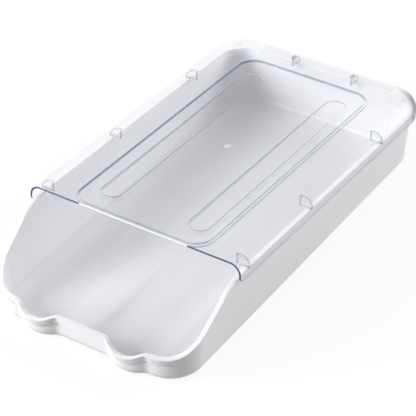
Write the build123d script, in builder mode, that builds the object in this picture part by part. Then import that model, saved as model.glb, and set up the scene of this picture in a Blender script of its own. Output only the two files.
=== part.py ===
"""Two-lane roll-down egg holder: a drafted white tray with a sloped floor and a clear lift-off lid."""
import os
from math import atan, cos, degrees, radians, sin, tan

from build123d import *

os.makedirs("parts", exist_ok=True)

# Driving dimensions in millimetres. X is across the lanes, -Y is the open front, +Z is up.
overall_length = 324.0          # lobed front rim to the back of the lid
lid_width = 170.0
bay_length = 65.7               # open front: lobed front rim back to the lid's front edge
lid_wall = 1.5
lid_corner = 25.5               # plan radius of the two back corners
shoulder_radius = 8.5           # the lid's rounded shoulder, outside
seat_height = 9.0               # from the rim's top face up to the lid's border
skirt_overlap = 5.5             # from the rim's top face down to the skirt's lower edge
skirt_nose = 5.0                # rounding of the skirt's lower front corners
lid_gap = 0.4                   # between the skirt and the rim inside it

tray_wall = 2.0
draft = 3.8                     # degrees, the walls lean outwards
rim_top = 59.0                  # the lid's ribs stand on this face
rim_reach = 1.3                 # how far the rim's lip stands out from the wall
rim_lip = 1.8                   # height of the lip
rim_step = 0.4                  # the band below the lip is set back by this
rim_height = 4.9                # lip and band together
front_height = 20.5             # front wall between and beside the dips
front_corner = 23.5             # plan radius of the base at the open front
foot_rounding = 7.5             # where the walls turn into the bottom, outside
foot_gap = 0.1                  # between the table and the foot's lowest place, at the scallops

ramp_ahead = 3.0                # ramp line meets the rim's height this far ahead of the lid's front edge
ramp_landing = 3.2              # and the front wall's height this far behind the base's front edge
ramp_top_radius = 45.0
ramp_foot_radius = 20.0

lobe_width = 35.0               # one scallop of the front wall, in plan, on each lane's middle
lobe_to_corner = 1.2            # straight stretch between a scallop and the front corner
lobe_depth = 5.8
dip_inset = 0.75                # a finger dip in the top edge starts and ends this far inside its scallop
dip_depth = 4.6
dip_run_out = 6.0               # the level front edge runs out into the ramps over this length
crest_share = 0.72              # crest radius of a scallop or dip, as a share of crest and flank together

floor_thickness = 1.9           # plate under the lanes
lane_lift = 0.3                 # from the plate up to a lane's lowest line
floor_slope = 2.65              # degrees, so the contents roll forwards
lane_radius = 360.0             # shallow hollow across each lane
runner_thickness = 1.8          # wedge-shaped runners under the floor keep it at its slope
runner_inset = 18.0             # the outer runners lie this far inside the base's sides
runner_start = 12.0             # and all start this far behind the base's front edge
runner_end = 3.0                # and end this far before the back's foot rounding
runner_overlap = 1.0            # they reach this far into the plate

panel_width = 105.5
panel_corner = 13.5
panel_from_front = 3.6
panel_from_back = 29.3
panel_depth = 2.0
groove_pitch = 71.0
groove_width = 15.5
groove_start = 16.5             # behind the panel's front wall
groove_end = 16.0               # before the panel's back wall
groove_front_depth = 3.0        # below the panel, fading towards the back
groove_back_depth = 0.5
gate_diameter = 5.5
gate_height = 0.4

rib_reach = 10.8                # seat ribs under the shoulder, inwards from the lid's edge
rib_thickness = 1.5
rib_first = 12.3                # rib places behind the lid's front edge, on both sides
rib_second = 92.0
rib_third = 190.0
back_rib_pitch = 51.0

# Places worked out from the sizes above
half_length = overall_length / 2
lid_top = rim_top + seat_height
skirt_drop = seat_height + skirt_overlap
lid_back = half_length
lid_length = overall_length - bay_length
lid_front = lid_back - lid_length
panel_length = lid_length - panel_from_front - panel_from_back
rim_half = lid_width / 2 - lid_wall - lid_gap
rim_back = lid_back - lid_wall - lid_gap
lean = rim_top * tan(radians(draft))            # outward travel of a wall over the rim's height
base_half = rim_half - rim_reach - lean
base_back = rim_back - rim_reach - lean
lane_pitch = 2 * (base_half - front_corner - lobe_to_corner) - lobe_width
base_corner = lid_corner - lid_wall - lid_gap - rim_reach - lean
dip_width = lobe_width - 2 * dip_inset
dip_floor = front_height - dip_depth
base_front = lobe_depth + rim_reach + dip_floor * tan(radians(draft)) - half_length
foot_front = base_front - lobe_depth + foot_rounding    # the foot is lowest here and rises to the back
floor_rise = tan(radians(floor_slope))
floor_half = base_half + lean                   # past the walls' inner faces at the floor's height
reach_over = 30.0                               # overlap of cutting bodies past the tray
below_table = 1.0                               # the drafted bodies start this far down


def hump(start, width, height):
    """Three tangent arcs that leave `start` along the first axis, go to `height` and come back."""
    turn = 2 * atan(2 * abs(height) / width)
    radii = width / 2 / sin(turn)
    flank = radii * (1 - crest_share)
    sweep = degrees(turn) if height > 0 else -degrees(turn)
    rise = JernArc(start=start, tangent=(1, 0), radius=flank, arc_size=sweep)
    crest = JernArc(start=rise @ 1, tangent=rise % 1, radius=radii * crest_share, arc_size=-2 * sweep)
    return JernArc(start=crest @ 1, tangent=crest % 1, radius=flank, arc_size=sweep)


def outline(level, grow):
    """Plan of the tray at height `level`, grown by `grow`: scalloped front, rounded corners."""
    out = level * tan(radians(draft)) + grow
    lobe_start = lane_pitch / 2 - lobe_width / 2
    first = (-lobe_start - lobe_width, base_front)
    with BuildSketch(Plane.XY.offset(level)) as sketch:
        with BuildLine():
            left = hump(first, lobe_width, -lobe_depth)
            between = Line(left @ 1, (lobe_start, base_front))
            right = hump(between @ 1, lobe_width, -lobe_depth)
            Polyline(right @ 1, (base_half, base_front), (base_half, base_back),
                     (-base_half, base_back), (-base_half, base_front), first)
        make_face()
        fillet(sketch.vertices().group_by(Axis.Y)[-1], base_corner)
        sides = sketch.vertices().group_by(Axis.X)
        fillet([side.sort_by(Axis.Y)[0] for side in (sides[0], sides[-1])], front_corner)
        if out:
            offset(amount=out)
    return sketch.sketch.face()


def drafted(grow, top):
    """Solid from just below the table to the height `top` with the walls' draft, grown by `grow`."""
    with BuildPart() as body:
        loft([outline(-below_table, grow), outline(top, grow)], ruled=True)
    return body.part


def foot_level(y):
    """Height of the foot's slope at `y`."""
    return foot_gap + (y - foot_front) * floor_rise


def under_slope(lift):
    """Everything below the foot's slope when that is lifted by `lift`."""
    ahead = -half_length - reach_over
    behind = half_length + reach_over
    with BuildPart() as body:
        with BuildSketch(Plane.YZ):
            with BuildLine():
                Polyline((ahead, -reach_over), (behind, -reach_over), (behind, foot_level(behind) + lift),
                         (ahead, foot_level(ahead) + lift), close=True)
            make_face()
        extrude(amount=lid_width, both=True)
    return body.part


def on_slope(grow, lift, rounding):
    """Drafted solid above the lifted slope, with the edges of its bottom rounded."""
    with BuildPart() as body:
        add(drafted(grow, rim_top + reach_over))
        add(under_slope(lift), mode=Mode.SUBTRACT)
        bottom = body.faces().sort_by(Axis.Z)[0]
        fillet(bottom.edges(), rounding)
    return body.part


def above_top_edge(drop):
    """Everything above the tray's top edge lowered by `drop`: side ramps and the two front dips."""
    ramp_head = lid_front - ramp_ahead
    ramp_foot = base_front + ramp_landing
    ahead = -half_length - reach_over
    behind = half_length + reach_over
    low = front_height - drop
    high = rim_top - drop
    over = rim_top + reach_over
    with BuildPart() as body:
        with BuildSketch(Plane.YZ):
            with BuildLine():
                edge = FilletPolyline((ahead, low), (ramp_foot, low), (ramp_head, high), (behind, high),
                                      radius=(ramp_foot_radius, ramp_top_radius))
                Polyline(edge @ 1, (behind, over), (ahead, over), edge @ 0)
            make_face()
        extrude(amount=lid_width, both=True)
        with BuildSketch(Plane.XZ.offset(-ramp_head)):
            with BuildLine():
                side = lane_pitch / 2 + lobe_width / 2
                lead = Line((-side, low), (-lane_pitch / 2 - dip_width / 2, low))
                left = hump(lead @ 1, dip_width, -dip_depth)
                land = Line(left @ 1, (lane_pitch / 2 - dip_width / 2, low))
                right = hump(land @ 1, dip_width, -dip_depth)
                Polyline(right @ 1, (side, low), (side + dip_run_out, low + dip_run_out / 4),
                         (side + dip_run_out, over), (-side - dip_run_out, over),
                         (-side - dip_run_out, low + dip_run_out / 4), lead @ 0)
            make_face()
        extrude(amount=lid_length)
    return body.part


def lane_height(x):
    """How far the floor's surface lies above the lanes' lowest lines, at `x` from the middle."""
    return lane_radius - (lane_radius ** 2 - (x - lane_pitch / 2) ** 2) ** 0.5


# The lanes' hollow surface, down to well below the floor
lane_front = base_front - reach_over
lane_plane = Plane(
    origin=(0, lane_front, foot_level(lane_front) + floor_thickness + lane_lift),
    x_dir=(1, 0, 0), z_dir=(0, -cos(radians(floor_slope)), -sin(radians(floor_slope))))
with BuildPart() as lanes:
    with BuildSketch(lane_plane):
        with BuildLine():
            surface = ThreePointArc((0, lane_height(0)), (lane_pitch / 2, 0), (floor_half, lane_height(floor_half)))
            Polyline(surface @ 1, (floor_half, -reach_over), (0, -reach_over), surface @ 0)
        make_face()
        mirror(about=Plane.YZ)
    extrude(amount=-overall_length - 2 * reach_over)

with BuildPart() as cavity:
    add(on_slope(-tray_wall, floor_thickness, foot_rounding - tray_wall))
    add(lanes.part, mode=Mode.SUBTRACT)

with BuildPart() as runners:
    first = base_front + runner_start
    last = base_back - foot_rounding - runner_end
    outer = base_half - runner_inset
    for place in (-outer, 0, outer):
        with BuildSketch(Plane.YZ.offset(place)):
            with BuildLine():
                Polyline((first, 0), (last, 0), (last, foot_level(last) + runner_overlap),
                         (first, foot_level(first) + runner_overlap), close=True)
            make_face()
        extrude(amount=runner_thickness / 2, both=True)

with BuildPart() as rim:
    add(drafted(rim_reach, rim_top))
    add(above_top_edge(rim_lip), mode=Mode.INTERSECT)

with BuildPart() as band:
    add(drafted(rim_reach - rim_step, rim_top))
    add(above_top_edge(rim_height), mode=Mode.INTERSECT)

with BuildPart() as tray:
    add(on_slope(0, 0, foot_rounding))
    add([band.part, rim.part])
    add(above_top_edge(0), mode=Mode.SUBTRACT)
    add(cavity.part, mode=Mode.SUBTRACT)
    add(runners.part)
tray.part.label = "tray"
export_step(tray.part, "parts/tray.step")


def lid_form(inset, grow_down):
    """Solid lid shape, inset by a wall's thickness: square at the front, rounded shoulder elsewhere."""
    bottom = lid_top - skirt_drop - grow_down
    with BuildPart() as body:
        with BuildSketch(Plane.XY.offset(bottom)):
            with Locations((0, lid_front - grow_down)):
                Rectangle(lid_width - 2 * inset, lid_length - inset + grow_down, align=(Align.CENTER, Align.MIN))
            back_corners = vertices().sort_by(Axis.Y)[-2:]
            fillet(back_corners, lid_corner - inset)
        extrude(amount=lid_top - inset - bottom)
        crown = body.faces().sort_by(Axis.Z)[-1]
        shoulder = crown.edges().sort_by(Axis.Y)[1:]
        fillet(shoulder, shoulder_radius - inset)
    return body.part


def panel_block(grow, top, bottom):
    """Prism of the recessed panel's outline, grown sideways by `grow`."""
    with BuildPart() as body:
        with BuildSketch(Plane.XY.offset(bottom)):
            with Locations((0, lid_front + panel_from_front + panel_length / 2)):
                RectangleRounded(panel_width + 2 * grow, panel_length + 2 * grow, panel_corner + grow)
        extrude(amount=top - bottom)
    return body.part


def groove_block(grow, drop):
    """The two grooves' shape: round-ended, deepest at the front, fading towards the back."""
    level = lid_top - panel_depth - drop
    length = panel_length - groove_start - groove_end
    start = lid_front + panel_from_front + groove_start
    with BuildPart() as body:
        with BuildSketch(Plane.XY.offset(level - groove_front_depth)):
            with Locations((-groove_pitch / 2, start + length / 2), (groove_pitch / 2, start + length / 2)):
                SlotOverall(length + 2 * grow, groove_width + 2 * grow, rotation=90)
        extrude(amount=groove_front_depth)
        with BuildSketch(Plane.YZ):
            with BuildLine():
                Polyline((start - grow, level - groove_front_depth), (start + length + grow, level - groove_back_depth),
                         (start + length + grow, level), (start - grow, level), close=True)
            make_face()
        extrude(amount=lid_width, both=True, mode=Mode.INTERSECT)
    return body.part


# Seat ribs under the shoulder: they stand on the tray's rim and keep the lid's border level
with BuildPart() as ribs:
    upright = (Align.CENTER, Align.CENTER, Align.MIN)
    side_x = lid_width / 2 - rib_reach / 2
    back_y = lid_back - rib_reach / 2
    for place in (rib_first, rib_second, rib_third):
        with Locations((-side_x, lid_front + place, rim_top), (side_x, lid_front + place, rim_top)):
            Box(rib_reach, rib_thickness, lid_top - rim_top, align=upright)
    with Locations((-back_rib_pitch / 2, back_y, rim_top), (back_rib_pitch / 2, back_y, rim_top)):
        Box(rib_thickness, rib_reach, lid_top - rim_top, align=upright)
    add(lid_form(lid_wall / 2, 0), mode=Mode.INTERSECT)

with BuildPart() as lid:
    panel_floor = lid_top - panel_depth
    add(lid_form(0, 0))
    add(lid_form(lid_wall, reach_over), mode=Mode.SUBTRACT)
    add(panel_block(lid_wall, lid_top - lid_wall / 2, panel_floor - lid_wall))
    add(groove_block(lid_wall, lid_wall))
    add(panel_block(0, lid_top + lid_wall, panel_floor), mode=Mode.SUBTRACT)
    add(groove_block(0, 0), mode=Mode.SUBTRACT)
    short_edges = lid.edges().filter_by(Axis.X).filter_by(lambda edge: edge.length < 2 * lid_wall)
    nose = short_edges.group_by(Axis.Y)[0].group_by(Axis.Z)[0]
    fillet(nose, skirt_nose)
    add(ribs.part)
    with Locations((0, lid_front + panel_from_front + panel_length / 2, panel_floor)):
        Cylinder(gate_diameter / 2, gate_height, align=(Align.CENTER, Align.CENTER, Align.MIN))
lid.part.label = "lid"
export_step(lid.part, "parts/lid.step")
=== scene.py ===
"""Looks of the two-lane roll-down egg holder: white tray and clear lid, on a pale studio floor."""
from math import radians

import bpy
from mathutils import Euler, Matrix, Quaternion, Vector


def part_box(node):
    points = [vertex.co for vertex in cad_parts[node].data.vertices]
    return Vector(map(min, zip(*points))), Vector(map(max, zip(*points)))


# Camera, fitted to the photograph (metres and degrees in the part's frame)
EYE = (0.5863, -0.9116, 0.7786)
AZIMUTH = 32.87
ELEVATION = 34.81
ROLL = 0.56
LENS = 161.4                      # mm
SENSOR_WIDTH = 36                 # mm
NEAREST_SEEN = 0.05               # metres from the camera

# Light: a pale sky and two large soft lamps, at the front left and the back right
SKY_LIGHT = 0.45
KEY_POWER = 60.0                  # watts
RIM_POWER = 37.0
LAMP_SIZE = 1.2                   # edge of the square lamps
KEY_PLACE = (-1.46, -1.48, 0.95)
RIM_PLACE = (1.33, 1.60, 0.95)
FLOOR_SIZE = 8
BACKDROP_WHITE = 1.0              # the plain white that camera, mirror and glass rays see
SKY_SHARE = 1.0                   # how much of the sky is that white to them
FLOOR_SHARE = 0.90                # and of the floor, where the rest is lit floor with its shadow
FLOOR_PALE = (0.95, 0.95, 0.95)   # the lit floor as the camera sees it
FLOOR_GREY = (0.42, 0.42, 0.42)   # what light bounces off: a pale floor would flatten the walls

# Colours as linear values
TRAY_WHITE = (0.84, 0.84, 0.86)
TRAY_SHADE = (0.81, 0.81, 0.835)
RIM_TOP_PAINTED_LIGHT = (0.97, 0.97, 0.98)    # painted light: the rim's level top face is painted whiter than the walls, as light from above shows it
HAZE_WHITE = (0.80, 0.80, 0.82)
# Painted highlight, on the front edge's middle and on the gate mark's top
PAINTED_HIGHLIGHT = (0.90, 0.91, 0.93)
GREY_LINE = (0.30, 0.34, 0.40)
RIB_LINE = (0.22, 0.25, 0.30)
# Painted dark reflection, at the lid's back right corner
PAINTED_DARK_REFLECTION = (0.10, 0.105, 0.115)
BLUE_LINE = (0.05, 0.10, 0.19)
# The front cut edge: its blue tint deepened by painted dark reflection, and painted black reflection
# round the shoulder
EDGE_BLUE_DARK_REFLECTION = (0.008, 0.040, 0.120)
EDGE_BLACK_REFLECTION = (0.006, 0.007, 0.012)
CLEAR_TINT = (0.99, 0.992, 0.995)
MIRROR_TINT = (0.96, 0.97, 1.0)

# Sizes on the tray and the lid, in metres, as the solids have them
RIM_ROUNDING = 0.0006             # the rim's top face lies above this depth
LID_WALL = 0.0015
SHOULDER = 0.0085                 # rounding along the lid's top edge
PANEL_HALF = 0.05275
PANEL_DEPTH = 0.002
GATE_PLACE = 0.0200               # along the lid, in the panel's middle
GATE_RADIUS = 0.00275
GATE_HEIGHT = 0.0004
RIB_REACH = 0.0108                # how far the ribs come in from the lid's outside
BACK_RIB_END = 0.028              # the back ribs lie nearer to the middle than this
LANE_HALF = 0.0435                # the front edge gets a painted highlight between the lanes' middles, and painted dark reflection outside
HEM = 0.0012                      # height of the skirt's lower edge
# The band at the back right corner is a painted dark reflection
BAND_FROM_SIDE = (0.028, 0.010)   # the band at the back right corner, from none to full, by the
BAND_FROM_BACK = (0.034, 0.020)   # distance from the lid's right side and from its back
MASK_EDGE = 0.0004                # a mask fades over this length

# Edge roundings of both pieces
EDGE_WIDTH = 0.0004
EDGE_STEPS = 2
SHARP_EDGE = 60                   # degrees; flatter edges stay as they are
WELD_REACH = 1e-6
OWN_SLOT = -1                     # a rounding keeps the material of its faces
EDGE_SLOT = 1

# Which faces a mask takes, from none to all, by the part of their normal along an axis
STANDING = (0.75, 0.35)
SQUARE = (0.6, 0.9)
EXACTLY_SQUARE = (0.85, 0.95)
FACING_RIGHT = (0.2, 0.8)
FACING_FRONT = (-0.2, -0.5)
GRAZED = (0.38, 0.72)             # by Layer Weight's Facing value

# How much of each detail of the lid is seen: 0 is clear, and 1 hides what lies behind
HAZE_SEEN = (0.008, 0.020)
STEP_SEEN = 0.13
PANEL_SEEN = (0.36, 0.52)         # walls that face left, and walls that face right
FRONT_SEEN = (0.80, 0.97)         # in the middle, and outside it
RIB_PLATE_SEEN = 0.16
RIB_END_SEEN = 0.45
RIB_EDGE_SEEN = 0.75
GATE_SEEN = (0.42, 0.60)          # its top, and its side
HEM_SEEN = 0.25
BAND_SEEN = 0.85
EDGE_SEEN = 0.24

# How far these details take their own colour
STEP_TINT = 0.45
RIB_END_TINT = 0.6
TINT_GAIN = 2.0                   # for edges: tint per share seen

# Surfaces: roughness from smooth to dull, and the spans of noise that they follow
PLASTIC_IOR = 1.49
TRAY_ROUGHNESS = (0.28, 0.40)
MIRROR_ROUGHNESS = (0.03, 0.09)
BODY_ROUGHNESS = 0.30
TRAY_CLOUDS = (0.35, 0.65)
LID_CLOUDS = (0.3, 0.7)
TWO_NOISES = (0.8, 1.2)

# Mirror reflection of the lid's surfaces, as shares of the light
LEVEL_GLOSS = 0.02
GRAZING_GLOSS = 0.4
GRAZING_POWER = 5.0
BAND_GLOSS = 0.1                  # what is left of it on the painted reflection band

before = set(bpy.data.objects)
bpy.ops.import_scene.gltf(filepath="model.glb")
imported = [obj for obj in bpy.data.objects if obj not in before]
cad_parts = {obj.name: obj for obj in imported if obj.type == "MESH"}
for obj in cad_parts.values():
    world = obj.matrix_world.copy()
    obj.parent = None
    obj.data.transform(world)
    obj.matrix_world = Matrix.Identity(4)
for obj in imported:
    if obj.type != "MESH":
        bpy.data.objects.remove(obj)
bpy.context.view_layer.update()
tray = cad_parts["tray"]
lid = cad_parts["lid"]
lid_low, lid_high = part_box("lid")
tray_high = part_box("tray")[1]


class Recipe:
    """Node tree of a new material, with short calls to add and join nodes."""

    def __init__(self, name):
        self.material = bpy.data.materials.new(name)
        self.material.use_nodes = True
        self.nodes = self.material.node_tree.nodes
        self.links = self.material.node_tree.links
        self.nodes.clear()
        self.output = self.nodes.new("ShaderNodeOutputMaterial")
        self.place = self.nodes.new("ShaderNodeTexCoord")

    def feed(self, socket, value):
        """Joins another node's socket, or sets a plain number or colour."""
        if isinstance(value, bpy.types.NodeSocket):
            self.links.new(value, socket)
        elif isinstance(value, tuple) and len(socket.default_value) == 4:
            socket.default_value = (*value, 1.0)
        else:
            socket.default_value = value

    def add(self, kind, settings=None, **inputs):
        """New node; `settings` are its properties, and the rest its inputs by name."""
        node = self.nodes.new(kind)
        for name, value in (settings or {}).items():
            setattr(node, name, value)
        for name, value in inputs.items():
            self.feed(node.inputs[name.replace("_", " ")], value)
        return node

    def math(self, operation, first, second=0.0):
        node = self.add("ShaderNodeMath", {"operation": operation})
        self.feed(node.inputs[0], first)
        self.feed(node.inputs[1], second)
        return node.outputs[0]

    def size(self, value):
        """The value without its sign."""
        return self.math("ABSOLUTE", value)

    def both(self, first, *others):
        """Where all masks hold."""
        for other in others:
            first = self.math("MULTIPLY", first, other)
        return first

    def either(self, first, *others):
        """Where any of the masks holds."""
        for other in others:
            first = self.math("MAXIMUM", first, other)
        return first

    def rise(self, value, start, end, low=0.0, high=1.0):
        """Goes from `low` to `high` while `value` goes from `start` to `end`."""
        node = self.add("ShaderNodeMapRange")
        ends = {"From Min": start, "From Max": end, "To Min": low, "To Max": high}
        self.feed(node.inputs["Value"], value)
        for name, number in ends.items():
            self.feed(node.inputs[name], number)
        return node.outputs["Result"]

    def between(self, share, low, high):
        """Number between two numbers."""
        return self.rise(share, 0.0, 1.0, low, high)

    def above(self, value, limit):
        return self.rise(value, limit - MASK_EDGE, limit + MASK_EDGE)

    def axes(self, name):
        """The three parts of the place or the normal in the object's own frame."""
        split = self.add("ShaderNodeSeparateXYZ", Vector=self.place.outputs[name])
        return split.outputs["X"], split.outputs["Y"], split.outputs["Z"]

    def noise(self, scale, detail=2.0):
        place = self.place.outputs["Object"]
        return self.add("ShaderNodeTexNoise", Vector=place, Scale=scale, Detail=detail).outputs["Fac"]

    def blend(self, share, first, second):
        """Colour between two colours."""
        node = self.add("ShaderNodeMix", {"data_type": "RGBA"})
        self.feed(node.inputs[0], share)
        self.feed(node.inputs[6], first)
        self.feed(node.inputs[7], second)
        return node.outputs[2]

    def mix(self, share, first, second):
        """Shader between two shaders."""
        node = self.add("ShaderNodeMixShader")
        self.feed(node.inputs[0], share)
        self.links.new(first.outputs[0], node.inputs[1])
        self.links.new(second.outputs[0], node.inputs[2])
        return node

    def bump(self, height, strength, distance):
        node = self.add("ShaderNodeBump", Height=height, Strength=strength, Distance=distance)
        return node.outputs["Normal"]

    def finish(self, shader):
        self.links.new(shader.outputs[0], self.output.inputs["Surface"])
        return self.material


def white_plastic():
    """Satin white moulding: cloudy tone, fine spark-eroded grain, a gloss that varies a little, and
    painted light on the rim's top face.
    """
    recipe = Recipe("white_plastic")
    clouds = recipe.noise(scale=14.0)
    grain = recipe.noise(scale=1500.0, detail=3.0)
    waves = recipe.noise(scale=38.0, detail=1.0)
    height = recipe.axes("Object")[2]
    level = recipe.rise(recipe.axes("Normal")[2], *SQUARE)
    # Painted light: the rim's level top face is painted whiter, as light from above makes it look
    rim = recipe.both(recipe.above(height, tray_high.z - RIM_ROUNDING), level)
    tone = recipe.blend(recipe.rise(clouds, *TRAY_CLOUDS), TRAY_WHITE, TRAY_SHADE)
    dullness = recipe.rise(recipe.math("ADD", waves, grain), *TWO_NOISES, *TRAY_ROUGHNESS)
    shader = recipe.add("ShaderNodeBsdfPrincipled", IOR=PLASTIC_IOR, Roughness=dullness,
                        Base_Color=recipe.blend(rim, tone, RIM_TOP_PAINTED_LIGHT),
                        Normal=recipe.bump(grain, strength=0.12, distance=0.00004))
    return recipe.finish(shader)


def clear_plastic(name, edge_seen, rib_edge_seen):
    """Clear polished moulding; the last two say how much of its small edge roundings is seen."""
    recipe = Recipe(name)
    x, y, z = recipe.axes("Object")
    along_x, along_y, along_z = recipe.axes("Normal")
    across = recipe.size(x)
    facing = recipe.add("ShaderNodeLayerWeight", Blend=0.5).outputs["Facing"]
    standing = recipe.rise(recipe.size(along_z), *STANDING)

    # Walls of the panel and of its grooves
    step_end = PANEL_HALF + 2 * LID_WALL
    step = recipe.both(standing, recipe.rise(across, step_end + MASK_EDGE, step_end))
    panel_step = recipe.both(step, recipe.above(z, lid_high.z - PANEL_DEPTH - LID_WALL))
    right_wall = recipe.rise(along_x, *FACING_RIGHT)

    # Front cut edge: a painted highlight in the middle, outside it its blue tint deepened by painted
    # dark reflection, and nearly black round the shoulder by painted reflection
    front = recipe.both(recipe.rise(y, lid_low.y + LID_WALL, lid_low.y + LID_WALL / 2),
                        recipe.rise(along_y, *FACING_FRONT))
    outer = recipe.above(across, LANE_HALF)
    bend = recipe.rise(z, lid_high.z - LID_WALL, lid_high.z - SHOULDER / 2)

    # Ribs: plates below the shoulder, at the sides and at the back
    side_end = lid_high.x - RIB_REACH
    back_end = lid_high.y - RIB_REACH
    behind_front = recipe.above(y, lid_low.y + 2 * LID_WALL)
    below_border = recipe.rise(z, lid_high.z - LID_WALL / 2, lid_high.z - LID_WALL)
    above_hem = recipe.above(z, lid_low.z + 2 * HEM)
    side_ribs = recipe.both(recipe.above(across, side_end - MASK_EDGE), behind_front)
    back_ribs = recipe.both(recipe.above(y, back_end - MASK_EDGE),
                            recipe.rise(across, BACK_RIB_END + MASK_EDGE, BACK_RIB_END))
    rib_plate = recipe.both(
        recipe.either(recipe.both(side_ribs, recipe.rise(recipe.size(along_y), *SQUARE)),
                      recipe.both(back_ribs, recipe.rise(recipe.size(along_x), *SQUARE))),
        recipe.rise(y, lid_high.y - 2 * LID_WALL, lid_high.y - 3 * LID_WALL))
    rib_edge = recipe.both(recipe.either(side_ribs, back_ribs), below_border, above_hem)
    side_rib_end = recipe.both(
        side_ribs, recipe.rise(across, side_end + 2 * MASK_EDGE, side_end + MASK_EDGE),
        recipe.rise(recipe.size(along_x), *EXACTLY_SQUARE))
    back_rib_end = recipe.both(
        back_ribs, recipe.rise(y, back_end + 2 * MASK_EDGE, back_end + MASK_EDGE),
        recipe.rise(recipe.size(along_y), *EXACTLY_SQUARE))
    rib_end = recipe.both(recipe.either(side_rib_end, back_rib_end), below_border)

    # Lower edge of the skirt, and a painted dark reflection at the back right corner, where the lid is
    # seen at a grazing angle
    hem = recipe.both(recipe.rise(z, lid_low.z + HEM, lid_low.z + HEM / 2), behind_front)
    reflection_band = recipe.both(recipe.rise(x, *(lid_high.x - far for far in BAND_FROM_SIDE)),
                       recipe.rise(y, *(lid_high.y - far for far in BAND_FROM_BACK)),
                       recipe.rise(facing, *GRAZED))

    # Gate mark in the middle of the panel, with a painted glint on its top
    panel_floor = lid_high.z - PANEL_DEPTH
    from_gate = recipe.either(across, recipe.size(recipe.math("SUBTRACT", y, GATE_PLACE)))
    gate = recipe.both(recipe.rise(from_gate, GATE_RADIUS + MASK_EDGE, GATE_RADIUS),
                       recipe.rise(z, panel_floor + GATE_HEIGHT / 4, panel_floor + GATE_HEIGHT / 2))

    # How much of the surface is seen, the rest being what lies behind it
    clouds = recipe.noise(scale=26.0, detail=3.0)
    seen = recipe.either(
        recipe.rise(clouds, *LID_CLOUDS, *HAZE_SEEN),
        recipe.both(step, STEP_SEEN),
        recipe.both(panel_step, recipe.between(right_wall, *PANEL_SEEN)),
        recipe.both(front, recipe.between(outer, *FRONT_SEEN)),
        recipe.both(rib_plate, RIB_PLATE_SEEN),
        recipe.both(gate, recipe.between(standing, *GATE_SEEN)),
        recipe.both(rib_edge, rib_edge_seen),
        recipe.both(rib_end, RIB_END_SEEN),
        recipe.both(hem, HEM_SEEN),
        recipe.both(reflection_band, BAND_SEEN),
        edge_seen)

    grey = recipe.either(recipe.both(step, STEP_TINT), hem, min(TINT_GAIN * edge_seen, 1.0))
    ribs = recipe.either(recipe.both(rib_edge, min(TINT_GAIN * rib_edge_seen, 1.0)),
                         recipe.both(rib_end, RIB_END_TINT))
    tone = recipe.blend(grey, HAZE_WHITE, GREY_LINE)
    tone = recipe.blend(ribs, tone, RIB_LINE)
    # Painted dark reflection at the back right corner
    tone = recipe.blend(reflection_band, tone, PAINTED_DARK_REFLECTION)
    tone = recipe.blend(panel_step, tone, BLUE_LINE)
    # The gate mark's top gets a painted glint, its side dark grey
    tone = recipe.blend(gate, tone, recipe.blend(standing, PAINTED_HIGHLIGHT, RIB_LINE))
    # Painted highlight on the front edge's middle, painted dark reflection outside it and round the
    # shoulder
    dark_reflection = recipe.blend(bend, EDGE_BLUE_DARK_REFLECTION, EDGE_BLACK_REFLECTION)
    tone = recipe.blend(front, tone, recipe.blend(outer, PAINTED_HIGHLIGHT, dark_reflection))

    waves = recipe.bump(recipe.noise(scale=55.0, detail=1.0), strength=0.05, distance=0.0002)
    through = recipe.add("ShaderNodeBsdfTransparent", Color=CLEAR_TINT)
    body = recipe.add("ShaderNodeBsdfPrincipled", Roughness=BODY_ROUGHNESS, IOR=PLASTIC_IOR,
                      Base_Color=tone)
    gloss = recipe.add("ShaderNodeBsdfGlossy", Color=MIRROR_TINT, Normal=waves,
                       Roughness=recipe.rise(clouds, *LID_CLOUDS, *MIRROR_ROUGHNESS))
    grazing = recipe.both(recipe.math("POWER", facing, GRAZING_POWER), GRAZING_GLOSS)
    mirror = recipe.both(recipe.math("ADD", grazing, LEVEL_GLOSS),
                         recipe.between(reflection_band, 1.0, BAND_GLOSS))
    return recipe.finish(recipe.mix(mirror, recipe.mix(seen, through, body), gloss))


def round_edges(piece, slot, clamp):
    """Small roundings of the moulding's edges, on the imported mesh, with the material of that slot."""
    weld = piece.modifiers.new("weld", "WELD")
    weld.merge_threshold = WELD_REACH
    bevel = piece.modifiers.new("edge_rounding", "BEVEL")
    bevel.width = EDGE_WIDTH
    bevel.segments = EDGE_STEPS
    bevel.limit_method = "ANGLE"
    bevel.angle_limit = radians(SHARP_EDGE)
    bevel.use_clamp_overlap = clamp
    bevel.harden_normals = True
    bevel.material = slot


def seen_white(nodes, links, output, lit_shader, share):
    """Shows a share of plain white to camera, mirror and glass rays, and the lit surface otherwise."""
    path = nodes.new("ShaderNodeLightPath")
    seen = path.outputs["Is Camera Ray"]
    for name in ("Is Glossy Ray", "Is Transmission Ray"):
        larger = nodes.new("ShaderNodeMath")
        larger.operation = "MAXIMUM"
        links.new(seen, larger.inputs[0])
        links.new(path.outputs[name], larger.inputs[1])
        seen = larger.outputs[0]
    scaled = nodes.new("ShaderNodeMath")
    scaled.operation = "MULTIPLY"
    scaled.inputs[1].default_value = share
    links.new(seen, scaled.inputs[0])
    plain = nodes.new("ShaderNodeEmission")
    plain.inputs["Strength"].default_value = BACKDROP_WHITE
    mix = nodes.new("ShaderNodeMixShader")
    links.new(scaled.outputs[0], mix.inputs[0])
    links.new(lit_shader.outputs[0], mix.inputs[1])
    links.new(plain.outputs[0], mix.inputs[2])
    links.new(mix.outputs[0], output.inputs["Surface"])


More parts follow.
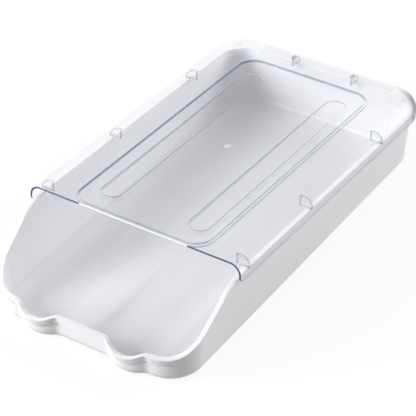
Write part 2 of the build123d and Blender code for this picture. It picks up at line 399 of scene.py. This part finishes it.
def soft_lamp(name, place, power):
    """Square lamp that looks at the object."""
    light = bpy.data.lights.new(name, "AREA")
    light.shape = "SQUARE"
    light.size = LAMP_SIZE
    light.energy = power
    lamp = bpy.data.objects.new(name, light)
    bpy.context.scene.collection.objects.link(lamp)
    lamp.location = place
    lamp.rotation_euler = (-lamp.location).to_track_quat("-Z", "Y").to_euler()
    return lamp


# Clamping keeps dark spots off the tray's lobes, but would thin out the lid's visible edges
tray.material_slots[0].material = white_plastic()
round_edges(tray, OWN_SLOT, clamp=True)
lid.material_slots[0].material = clear_plastic("clear_plastic", 0.0, 0.0)
lid.data.materials.append(clear_plastic("clear_plastic_edge", EDGE_SEEN, RIB_EDGE_SEEN))
round_edges(lid, EDGE_SLOT, clamp=False)

# Floor and sky
bpy.ops.mesh.primitive_plane_add(size=FLOOR_SIZE)
floor = bpy.context.object
floor.name = "floor"
ground = Recipe("floor")
path = ground.add("ShaderNodeLightPath")
floor_tone = ground.blend(path.outputs["Is Camera Ray"], FLOOR_GREY, FLOOR_PALE)
matt = ground.add("ShaderNodeBsdfDiffuse", Color=floor_tone)
seen_white(ground.nodes, ground.links, ground.output, matt, FLOOR_SHARE)
floor.data.materials.append(ground.material)

world = bpy.data.worlds.new("studio")
bpy.context.scene.world = world
world.use_nodes = True
nodes, links = world.node_tree.nodes, world.node_tree.links
nodes.clear()
sky = nodes.new("ShaderNodeBackground")
sky.inputs["Strength"].default_value = SKY_LIGHT
seen_white(nodes, links, nodes.new("ShaderNodeOutputWorld"), sky, SKY_SHARE)

# The back lamp would show as a broad streak on the lid's shoulder, so mirror rays don't see it
soft_lamp("key", KEY_PLACE, KEY_POWER)
soft_lamp("rim", RIM_PLACE, RIM_POWER).visible_glossy = False

camera = bpy.data.cameras.new("camera")
camera.lens = LENS
camera.sensor_width = SENSOR_WIDTH
camera.clip_start = NEAREST_SEEN
camera_object = bpy.data.objects.new("camera", camera)
bpy.context.scene.collection.objects.link(camera_object)
camera_object.location = EYE
look = Euler((radians(90 - ELEVATION), 0, radians(AZIMUTH))).to_quaternion()
camera_object.rotation_mode = "QUATERNION"
camera_object.rotation_quaternion = look @ Quaternion((0, 0, 1), radians(ROLL))
bpy.context.scene.camera = camera_object

bpy.context.scene.view_settings.view_transform = "Standard"
